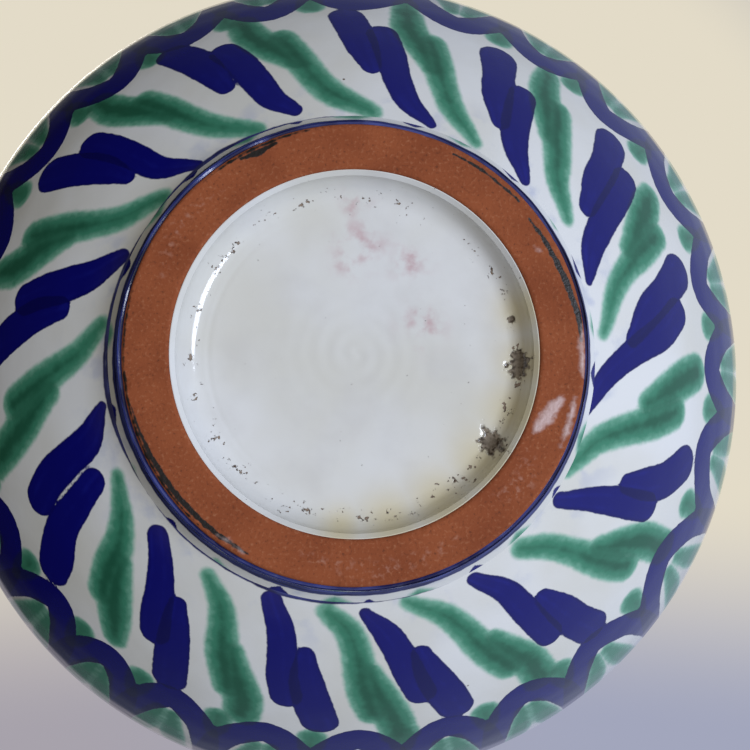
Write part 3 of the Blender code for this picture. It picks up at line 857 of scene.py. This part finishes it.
def paint_coat(piece, line, painting, band=None):
    """Writes the painting into the piece, and gives it the slight unevenness of throwing."""
    points = corners(piece)
    radius = np.hypot(points[:, 0], points[:, 1])
    along = line.length_at(points[:, 2]) / MM
    angle = np.arctan2(points[:, 1], points[:, 0])
    paper = Paper(np.degrees(angle), along, radius / MM)
    blue, blue_twice, blue_load = paper.lay(painting[0])
    green, green_twice, green_load = paper.lay(painting[1])
    inside = band(points, radius, angle, along) if band else np.full(len(points), -3.0)
    store(piece, blue=blue, blue_twice=blue_twice, blue_load=blue_load, green=green, green_twice=green_twice,
          green_load=green_load, band=inside, smudge=0.4 * np.clip(1.2 - along / 14, 0, 1))
    put_corners(piece, shift_in(points, hand_wobble(points, 7 * MM, 0.12 * MM, 0.05 * MM)))


# Upper edge of the band round the foot, which was painted off centre: degrees round and mm up
FOOT_BAND = (
    (5, 1.1), (60, 1.8), (110, 2.8), (145, 2.1), (175, 3.3), (212, 2.1), (236, 3.0), (265, 1.9), (320, 1.9),
)


def foot_band(points, radius, angle, along):
    """Depth in mm inside the band at the foot."""
    turned, height = zip(*FOOT_BAND)
    edge = np.interp(np.degrees(angle), turned, height, period=360) + 0.12 * np.sin(11 * angle + 1)
    return np.clip(edge - along, -3, 3)


class VASE_OT_outer_coat(bpy.types.Operator):
    """Builds the painted outer coat as three closed shells that meet under painted bands"""

    bl_idname = "vase.outer_coat"
    bl_label = "Painted outer coat"

    def execute(self, context):
        sizes, colours = context.scene.vase_sizes, context.scene.vase_colours
        line = Line(sizes)
        glaze = painted_glaze(colours)
        foot_edge = line.lengths[0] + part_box("outer_glaze")[0].z - 0.2 * MM
        low, high = LOW_BAND[0] * MM, HIGH_BAND[0] * MM
        # Rows are close together where the foot band's streaks are
        foot_rows = np.concatenate((np.linspace(foot_edge, 8 * MM, 43)[:-1], np.linspace(8 * MM, low, 97)))
        front = line.run(foot_rows, -PROUD)
        back = line.run(np.linspace(foot_edge, low, 9), 0.05 * MM)
        outline = [*front[::-1], *bead(front[0], back[0]), *back]
        piece = turn("painted_coat_lower", outline, 660)
        points = corners(piece)
        angle = np.arctan2(points[:, 1], points[:, 0])
        ragged = 0.35 * np.sin(4 * angle + 1) + 0.25 * np.sin(9 * angle) + 0.2 * np.sin(23 * angle + 2)
        points[:, 2] += ragged * MM * np.clip(1 - points[:, 2] / (3.5 * MM), 0, 1)
        put_corners(piece, points)
        paint_coat(piece, line, lower_painting(), foot_band)
        settle(piece, glaze, "outer_glaze")

        front = line.run(np.linspace(low, high, 82), -PROUD)
        back = line.run(np.linspace(low, high, 14), -GAP)
        piece = turn("painted_coat_belly", [*front[::-1], *back], 640)
        paint_coat(piece, line, belly_painting())
        settle(piece, glaze, "outer_glaze")

        front = line.run(np.linspace(high, line.lip, 130)[:-1], -PROUD)
        back = line.run(np.linspace(high, line.lip, 16)[:-1], -GAP)
        lip = line.lip_curve(PROUD, np.linspace(0, math.pi, 15))
        under_lip = line.lip_curve(GAP, np.linspace(0, math.pi, 9))
        piece = turn("painted_coat_upper", [*lip[::-1], *front[::-1], *back, *under_lip], 560)

        def rim_band(points, radius, angle, along):
            """Depth in mm inside the band on the lip, which stops where the lip turns inwards."""
            middle = line.run([line.lip], WALL / 2)[0]
            edge = line.lip / MM - 6.5 + 0.4 * np.sin(5 * angle) + 0.3 * np.sin(2 * angle + 1)
            inside = (radius < middle[0] - 2.4 * MM) & (points[:, 2] < middle[1] + 1.6 * MM)
            return np.where(inside, -3.0, np.clip(along - edge, -3, 3))

        paint_coat(piece, line, upper_painting(), rim_band)
        settle(piece, glaze, "outer_glaze")
        return {"FINISHED"}


class VASE_OT_inner_coat(bpy.types.Operator):
    """Builds the poured inner coat, from the lip down over the floor"""

    bl_idname = "vase.inner_coat"
    bl_label = "Inner coat"

    def execute(self, context):
        sizes, colours = context.scene.vase_sizes, context.scene.vase_colours
        line = Line(sizes)
        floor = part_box("inner_glaze")[0].z
        shells = []
        for depth, level in ((WALL + PROUD, floor + GLAZE), (WALL + GAP, floor)):
            wall = line.run(np.linspace(0, line.lip - GAP, 150), depth)
            wall = wall[wall[:, 1] > level + 0.2 * MM]
            flat = np.column_stack((np.linspace(0, wall[0][0] - 1 * MM, 24), np.full(24, level)))
            shells.append(np.concatenate((flat, wall)))
        piece = turn("inner_coat", [*shells[0], *shells[1][::-1]], 260, closed=False)
        points = corners(piece)
        # Throwing ridges stand into the hollow, away from the flat floor and the lip
        top = line.points[-1][1] - 12 * MM
        on_wall = (points[:, 2] > floor + 12 * MM) & (points[:, 2] < top)
        put_corners(piece, shift_in(points, on_wall * hand_wobble(points, 11 * MM, 0.1 * MM, 0.35 * MM)))
        settle(piece, inner_glaze(colours), "inner_glaze")
        return {"FINISHED"}


def ring_section(sizes):
    """The bare ring's outline: down the outside, over its standing face, up the inside, over the fillet."""
    line = Line(sizes)
    inner = sizes.foot_radius - sizes.ring_width
    top = SLIP_BOX[0].z - GAP
    bevel = sizes.edge_bevel
    start = np.interp(top, line.points[:, 1], line.lengths)
    outside = line.run(np.linspace(start, line.lengths[0] + bevel, 14))
    turns = np.linspace(0, math.pi / 2, 5)[1:-1]
    reach = outside[-1][0] - bevel
    outer_edge = [(reach + bevel * math.cos(t), bevel - bevel * math.sin(t)) for t in turns]
    face = [(radius, 0.0) for radius in np.linspace(reach, inner + bevel, 44)]
    inner_edge = [(inner + bevel - bevel * math.sin(t), bevel - bevel * math.cos(t)) for t in turns]
    fillet = sizes.recess_fillet
    centre = (inner - fillet, sizes.recess_depth - fillet)
    bend = np.linspace(0, math.pi / 2, 10)
    wall = [(centre[0] + fillet * math.cos(t), centre[1] + fillet * math.sin(t)) for t in bend]
    return [*outside, *outer_edge, *face, *inner_edge, (inner, bevel), *wall, (centre[0], top)]


# Marks on the standing face: routes in (degrees round, mm from the axis) and widths in mm
SOOT_LINES = (
    (((322, 43.2), (328, 43.3), (335, 43.4), (342, 43.7), (352, 44.0)), (0.3, 0.8, 1.0, 1.3, 0.4)),
    (((345, 44.2), (351, 44.3), (357, 44.3)), (0.4, 1.0, 0.4)),
    (((296, 43.7), (303, 43.8), (310, 43.8), (317, 44.0)), (0.3, 0.6, 0.4, 0.4)),
    (((239, 43.9), (244, 43.5), (249, 43.9)), (0.5, 1.3, 0.4)),
    (((228, 44.5), (236, 44.5), (246, 44.5), (258, 44.6)), (0.2, 0.4, 0.5, 0.2)),
    (((118, 43.8), (128, 43.7), (140, 43.8), (152, 43.9), (166, 44.2)), (0.4, 0.9, 1.1, 0.8, 0.3)),
    (((132, 44.6), (150, 44.6), (170, 44.6), (195, 44.6)), (0.2, 0.5, 0.4, 0.2)),
)
GLAZE_SMEARS = (
    (((12.9, 40.9), (18, 39.4), (23.3, 38.2)), (2.2, 3.2, 2.0)),
    (((11.5, 43.7), (18, 43.8), (24.5, 43.9)), (0.8, 1.7, 1.0)),
    (((353, 44.6), (359, 44.3), (366, 44.6)), (0.8, 1.8, 0.8)),
    (((119, 44.0), (123, 43.6), (127, 44.0)), (0.4, 1.0, 0.4)),
    (((329, 40.9), (331, 41.5)), (0.5, 0.9)),
)
RUBBED_PATCHES = (
    (((30, 39), (38, 41), (46, 39)), (3, 6, 3)),
    (((62, 41), (84, 42), (104, 40)), (3, 5, 3)),
    (((200, 40), (214, 42), (230, 41)), (2, 4, 2)),
)
# Small chips knocked out of the ring's edges: degrees round, mm from the axis, size and depth in mm
CHIPS = (
    (123, 44.6, 1.6, 0.35), (127, 44.9, 1.1, 0.3), (330, 44.7, 1.0, 0.25), (247, 44.6, 1.4, 0.3),
    (201, 36.4, 0.9, 0.25), (70, 36.3, 1.1, 0.25), (15, 44.8, 1.3, 0.3), (288, 44.8, 0.9, 0.25),
    (95, 44.8, 0.8, 0.2), (172, 44.7, 1.2, 0.3), (310, 36.2, 0.8, 0.2), (150, 36.4, 0.9, 0.2),
)


def away_from(angle, radius, degrees, middle):
    """Distance in mm, over a flat face, from a spot given by its degrees and its mm from the axis."""
    turned = math.radians(degrees)
    return np.hypot(radius * np.cos(angle) / MM - middle * math.cos(turned),
                    radius * np.sin(angle) / MM - middle * math.sin(turned))


class VASE_OT_foot_ring(bpy.types.Operator):
    """Builds the bare clay ring, with turning marks, chips, soot and smears"""

    bl_idname = "vase.foot_ring"
    bl_label = "Bare foot ring"

    def execute(self, context):
        sizes, colours = context.scene.vase_sizes, context.scene.vase_colours
        piece = turn("bare_foot_ring", ring_section(sizes), 640)
        points = corners(piece)
        radius = np.hypot(points[:, 0], points[:, 1])
        angle = np.arctan2(points[:, 1], points[:, 0])
        paper = Paper(np.degrees(angle), radius / MM, radius / MM)
        soot, smear, rubbed = (
            paper.lay([Stroke(*mark) for mark in marks], margin=2.0)[0]
            for marks in (SOOT_LINES, GLAZE_SMEARS, RUBBED_PATCHES)
        )
        coarse = np.sin(2 * math.pi * radius / (1.9 * MM) + 1.5 * np.sin(angle) + 0.8 * np.sin(3 * angle))
        fine = np.sin(2 * math.pi * radius / (0.8 * MM) + 2 * np.sin(2 * angle + 1))
        turning = 0.5 + 0.3 * coarse + 0.2 * fine
        store(piece, soot=soot, smear=smear, rubbed=np.clip(rubbed * 0.3, 0, 0.7), turning=turning)
        chips = np.zeros(len(points))
        for degrees, middle, size, depth in CHIPS:
            chips += depth * MM * np.clip(1 - (away_from(angle, radius, degrees, middle) / size) ** 2, 0, 1)
        on_face = points[:, 2] < 0.2 * MM
        on_edge = points[:, 2] < 1.2 * MM
        points[:, 2] += np.where(on_face, 0.02 * MM * turning, 0) + np.where(on_edge, chips, 0)
        put_corners(piece, points)
        settle(piece, ring_clay(colours), "foot_ring")
        return {"FINISHED"}


# Faults in the recess: routes in (degrees round, mm from the axis) with widths in mm, and round spots
GRIT_TRAILS = (
    (((100, 31.5), (80, 32.3), (62, 32.6), (45, 32.5), (30, 32.6), (15, 32.6), (0, 32.4), (345, 32.2),
      (325, 32.0)),
     (1.5, 3.0, 3.2, 4.2, 4.2, 3.6, 3.2, 2.2, 1.2)),
    (((300, 31.0), (285, 32.0), (270, 32.0), (255, 32.3), (240, 32.0), (228, 31.0)),
     (1.5, 3.0, 3.2, 2.6, 1.8, 1.0)),
)
CRATERS = (
    (0.5, 32.8, 1.1), (3, 33.0, 1.4), (6, 32.8, 1.1), (33, 32.3, 1.9), (4, 30.6, 0.4), (347, 32.4, 0.6),
)
FLUSHES = ((272, 22.0, 4.5), (266, 19.0, 3.0), (270, 30.5, 2.5), (300, 22.0, 3.5), (335, 15.0, 4.0))
POOLS = (
    (40, 34.0, 7.5), (20, 34.5, 7.0), (60, 34.0, 7.0), (78, 34.0, 6.0), (3, 34.5, 6.0), (345, 34.5, 5.0),
    (95, 34.5, 4.0),
)


def blots(angle, radius, spots, cracks=0.0):
    """Soft blots, each given by its degrees, mm from the axis and size in mm. Cracks run out of them."""
    found = np.zeros(len(angle))
    for degrees, middle, size in spots:
        turned = math.radians(degrees)
        x = radius * np.cos(angle) / MM - middle * math.cos(turned)
        y = radius * np.sin(angle) / MM - middle * math.sin(turned)
        ray = np.arctan2(y, x)
        spikes = np.abs(np.cos(3.5 * ray + middle)) ** 6 + 0.7 * np.abs(np.cos(2.5 * ray + 1 + turned)) ** 8
        found = np.maximum(found, np.exp(-((x**2 + y**2) / (size * (1 + cracks * spikes)) ** 2)))
    return found


class VASE_OT_recess_coat(bpy.types.Operator):
    """Builds the white coat in the hollow under the foot, with its throwing spiral, grit and craters"""

    bl_idname = "vase.recess_coat"
    bl_label = "Recess coat"

    def execute(self, context):
        sizes, colours = context.scene.vase_sizes, context.scene.vase_colours
        inner = sizes.foot_radius - sizes.ring_width
        centre = np.array((inner - sizes.recess_fillet, sizes.recess_depth - sizes.recess_fillet))
        edge = 0.45 * MM  # the glaze runs down to the ring's rounded edge
        shells = []
        for proud, flats, curves in ((-0.05 * MM, 10, 10), (PROUD, 84, 30)):
            bend = sizes.recess_fillet - proud
            flat = np.column_stack((np.linspace(0, centre[0], flats), np.full(flats, centre[1] + bend)))
            turns = np.linspace(math.pi / 2, 0, curves)[1:]
            curve = centre + bend * np.column_stack((np.cos(turns), np.sin(turns)))
            # The glaze thins out towards the bare ring
            end = (inner + (0.05 if proud < 0 else -0.12) * MM, edge)
            down = np.linspace(curve[-1], end, 7)[1:]
            shells.append(np.concatenate((flat, curve, down)))
        back, front = shells
        piece = turn("recess_coat", [*back, *front[::-1]], 480, closed=False)
        points = corners(piece)
        radius = np.hypot(points[:, 0], points[:, 1])
        angle = np.arctan2(points[:, 1], points[:, 0])
        paper = Paper(np.degrees(angle), radius / MM, radius / MM)
        grit = paper.lay([Stroke(*trail) for trail in GRIT_TRAILS])[0]
        crater = blots(angle, radius, CRATERS, cracks=0.45)
        store(piece, grit=np.clip(0.5 + 0.35 * grit, 0, 1.4), crater=crater,
              flush=blots(angle, radius, FLUSHES), pool=blots(angle, radius, POOLS))
        spiral = 0.5 + 0.5 * np.sin(2 * math.pi * radius / (3.4 * MM) - angle)
        fade = np.clip(1 - radius / (20 * MM), 0, 1)
        one_side = np.clip(-0.2 - 1.2 * np.cos(angle), 0, 1)
        groove = np.exp(-(((radius - 29.4 * MM) / (0.5 * MM)) ** 2)) * one_side
        ceiling = centre[1] + sizes.recess_fillet - PROUD + 0.1 * MM
        on_face = (points[:, 2] < ceiling) & (points[:, 2] > 2 * MM)
        lift = MM * np.minimum(0.08 * spiral * fade + 0.10 * groove + 0.35 * crater, 0.45)
        points[:, 2] += np.where(on_face, lift, 0)
        put_corners(piece, points)
        settle(piece, recess_glaze(colours), "recess_glaze")
        return {"FINISHED"}


class VASE_OT_clay_walls(bpy.types.Operator):
    """Gives the clay sections and the slip between them their fired materials"""

    bl_idname = "vase.clay_walls"
    bl_label = "Clay and slip"

    def execute(self, context):
        colours = context.scene.vase_colours
        clay = wall_clay(colours, "fired_terracotta")
        slip = wall_clay(colours, "fired_slip")
        clay_nodes, slip_nodes = ("lower_bowl", "shoulder", "neck"), ("foot_slip", "belly_slip", "neck_slip")
        for material, names in ((clay, clay_nodes), (slip, slip_nodes)):
            for name in names:
                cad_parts[name].data.materials.clear()
                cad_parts[name].data.materials.append(material)
        return {"FINISHED"}


# The camera looks up at the foot from below. Its place in mm, the way it looks, and its lens in mm.
CAMERA_PLACE = (-5.78, 14.66, -173.88)
CAMERA_WAY = (0.0537, -0.0584, 0.9968)
CAMERA_LENS = 43.2
# Soft lights: name, place in metres, width in metres, power in watts and colour. Both face one place.
LIT_PLACE = (0, 0, 0.05)
SOFT_LIGHTS = (
    ("window_below", (0.44, 0.08, -0.66), 0.34, 4.4, "#E2EBFF"),
    ("window_above", (-0.22, -0.20, 1.25), 0.90, 11.0, "#FFFCF6"),
)


def pale_room():
    """Pale surroundings: cream overhead that greys to one side in a painted shadow, a bright side, a dim side
    and a dim floor.
    """
    world = bpy.data.worlds.new("pale_room")
    world.use_nodes = True
    tree = world.node_tree
    way = add(tree, "TexCoord", out="Generated")
    across, lean, height = add(tree, "SeparateXYZ", {0: way}).node.outputs
    tint = add(tree, "MapRange", {0: across, 1: -0.3, 2: 0.3}, **EASED)
    # The grey overhead is a painted shadow, as of the vase's shadow falling on a wall beside it
    shadow_grey = add(tree, "Mix", {0: tint, 6: linear("#A7A2AB"), 7: linear("#A2A6BC")}, 2, **RGBA)
    shade = add(tree, "MapRange", {0: lean, 1: 0.06, 2: 0.30}, **EASED)
    overhead = add(tree, "Mix", {0: shade, 6: linear("#E3DBC8"), 7: shadow_grey}, 2, **RGBA)
    lit = add(tree, "Math", {0: lean, 1: 0.15, 2: across}, operation="MULTIPLY_ADD")
    lit = add(tree, "MapRange", {0: lit, 1: -0.7, 2: 0.9})
    sides = add(tree, "Mix", {0: lit, 6: linear("#1C1815"), 7: linear("#AEB7CB")}, 2, **RGBA)
    low = add(tree, "MapRange", {0: height, 1: -0.32, 2: -0.66}, **EASED)
    floor = add(tree, "Mix", {0: lit, 6: linear("#9C9283"), 7: linear("#D6DBE0")}, 2, **RGBA)
    sides = add(tree, "Mix", {0: low, 6: sides, 7: floor}, 2, **RGBA)
    up = add(tree, "MapRange", {0: height, 1: 0.74, 2: 0.85}, **EASED)
    room = add(tree, "Mix", {0: up, 6: sides, 7: overhead}, 2, **RGBA)
    tree.links.new(room, tree.nodes["Background"].inputs["Color"])
    bpy.context.scene.world = world


def pale_dish():
    """A floor that curves up into a far wall. It shows from above only, so that the foot can be seen."""
    bend = np.linspace(0, math.pi / 2, 16)
    profile = [(0.0, 0.0), *zip(0.9 + 0.5 * np.sin(bend), 0.5 - 0.5 * np.cos(bend)), (1.4, 1.6)]
    dish = turn("pale_dish", profile, 100, closed=False)
    material, tree, shader, place = start_material("pale_paper")
    grain = shaken(tree, place, 0.0, 60 * MM, 1.0, -0.3, 0.3)
    paper = add(tree, "Mix", {0: grain, 6: linear("#E2DCD0"), 7: linear("#E8E3D9")}, 2, **RGBA)
    tree.links.new(paper, shader.inputs["Base Color"])
    shader.inputs["Roughness"].default_value = 0.9
    clear = add(tree, "BsdfTransparent")
    facing = add(tree, "NewGeometry", out="Backfacing")
    chosen = add(tree, "MixShader", {0: facing, 1: shader.outputs[0], 2: clear})
    tree.links.new(chosen, tree.nodes["Material Output"].inputs["Surface"])
    dish.data.materials.append(material)
    for ray in ("shadow", "diffuse", "glossy", "transmission"):
        setattr(dish, "visible_" + ray, False)
    # The side that shows is the one towards the vase
    if dish.data.polygons[0].normal.z < 0:
        dish.data.flip_normals()


class VASE_OT_stage(bpy.types.Operator):
    """Sets the pale floor, the soft lights and the camera below the foot"""

    bl_idname = "vase.stage"
    bl_label = "Stage"

    def execute(self, context):
        pale_room()
        pale_dish()
        for name, place, size, power, colour in SOFT_LIGHTS:
            data = bpy.data.lights.new(name, "AREA")
            data.shape = "DISK"
            data.size = size
            data.energy = power
            data.color = linear(colour)[:3]
            lamp = bpy.data.objects.new(name, data)
            lamp.location = place
            towards_vase = Vector(LIT_PLACE) - Vector(place)
            lamp.rotation_euler = towards_vase.to_track_quat("-Z", "Y").to_euler()
            context.scene.collection.objects.link(lamp)
        way = Vector(CAMERA_WAY).normalized()
        right = way.cross(Vector((0, -1, 0))).normalized()
        turned = Matrix((right, right.cross(way), -way)).transposed().to_4x4()
        camera = bpy.data.objects.new("camera", bpy.data.cameras.new("camera"))
        camera.matrix_world = Matrix.Translation(Vector(CAMERA_PLACE) * MM) @ turned
        camera.data.lens = CAMERA_LENS
        camera.data.sensor_width = 36.0
        camera.data.clip_start = 0.01
        context.scene.collection.objects.link(camera)
        context.scene.camera = camera
        context.scene.view_settings.view_transform = "Standard"
        return {"FINISHED"}


class VASE_PT_panel(bpy.types.Panel):
    """Sizes, colours and steps of the vase"""

    bl_idname = "VASE_PT_panel"
    bl_label = "Vase"
    bl_space_type = "VIEW_3D"
    bl_region_type = "UI"
    bl_category = "Vase"

    def draw(self, context):
        for group in (context.scene.vase_sizes, context.scene.vase_colours):
            for name in group.bl_rna.properties.keys():
                if name not in ("rna_type", "name"):
                    self.layout.prop(group, name)
        for step in STEPS:
            self.layout.operator(step.bl_idname)


STEPS = (
    VASE_OT_outer_coat,
    VASE_OT_inner_coat,
    VASE_OT_foot_ring,
    VASE_OT_recess_coat,
    VASE_OT_clay_walls,
    VASE_OT_stage,
)
CLASSES = (VaseSizes, VaseColours) + STEPS + (VASE_PT_panel,)


def register():
    for one in CLASSES:
        bpy.utils.register_class(one)
    bpy.types.Scene.vase_sizes = bpy.props.PointerProperty(type=VaseSizes)
    bpy.types.Scene.vase_colours = bpy.props.PointerProperty(type=VaseColours)


def unregister():
    del bpy.types.Scene.vase_colours
    del bpy.types.Scene.vase_sizes
    for one in reversed(CLASSES):
        bpy.utils.unregister_class(one)


def main():
    register()
    for step in STEPS:
        family, action = step.bl_idname.split(".")
        getattr(getattr(bpy.ops, family), action)()


if __name__ == "__main__":
    main()
